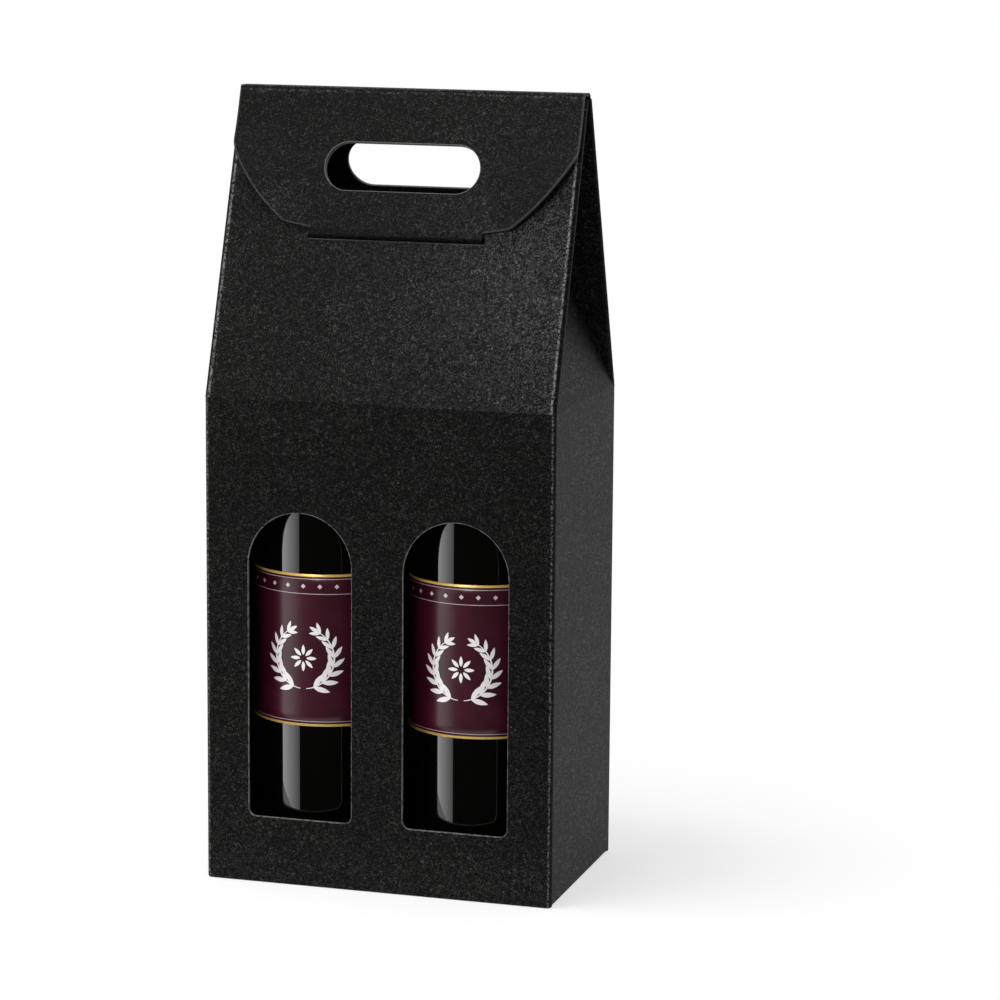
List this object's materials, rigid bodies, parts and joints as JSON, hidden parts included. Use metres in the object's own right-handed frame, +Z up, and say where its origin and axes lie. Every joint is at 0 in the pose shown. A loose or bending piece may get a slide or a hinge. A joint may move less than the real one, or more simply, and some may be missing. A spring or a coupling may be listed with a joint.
{
  "type": "bottle carrier box",
  "caption": "Gable-topped cardboard carrier with arched windows, holding wine bottles, with a hinged closing flap and hand hole.",
  "frame": {"origin": "centre of the base, on the plane the carton stands on", "axes": "+Z up, -Y towards the front with the windows, X along the width and the ridge"},
  "size_m": [0.18, 0.11, 0.395],
  "materials": {
    "board": "matt, embossed with a fine weave",
    "inner_board": "matt",
    "bottle_glass": "gloss, opaque dark",
    "capsule_foil": "satin gold",
    "label_paper": "satin print"
  },
  "bodies": {
    "body": {"carton": "board", "divider": "inner_board", "bottle_left": "bottle_glass", "bottle_right": "bottle_glass", "capsule_left": "capsule_foil", "capsule_right": "capsule_foil", "label_left": "label_paper", "label_right": "label_paper"},
    "flap": {"closing_flap": "board"}
  },
  "joints": [
    {"name": "flap_hinge", "type": "hinge", "parent": "body", "child": "flap", "pos_m": [0, -0.00536, 0.39425], "axis": [-1, 0, 0], "range_deg": [0, 170]}
  ]
}
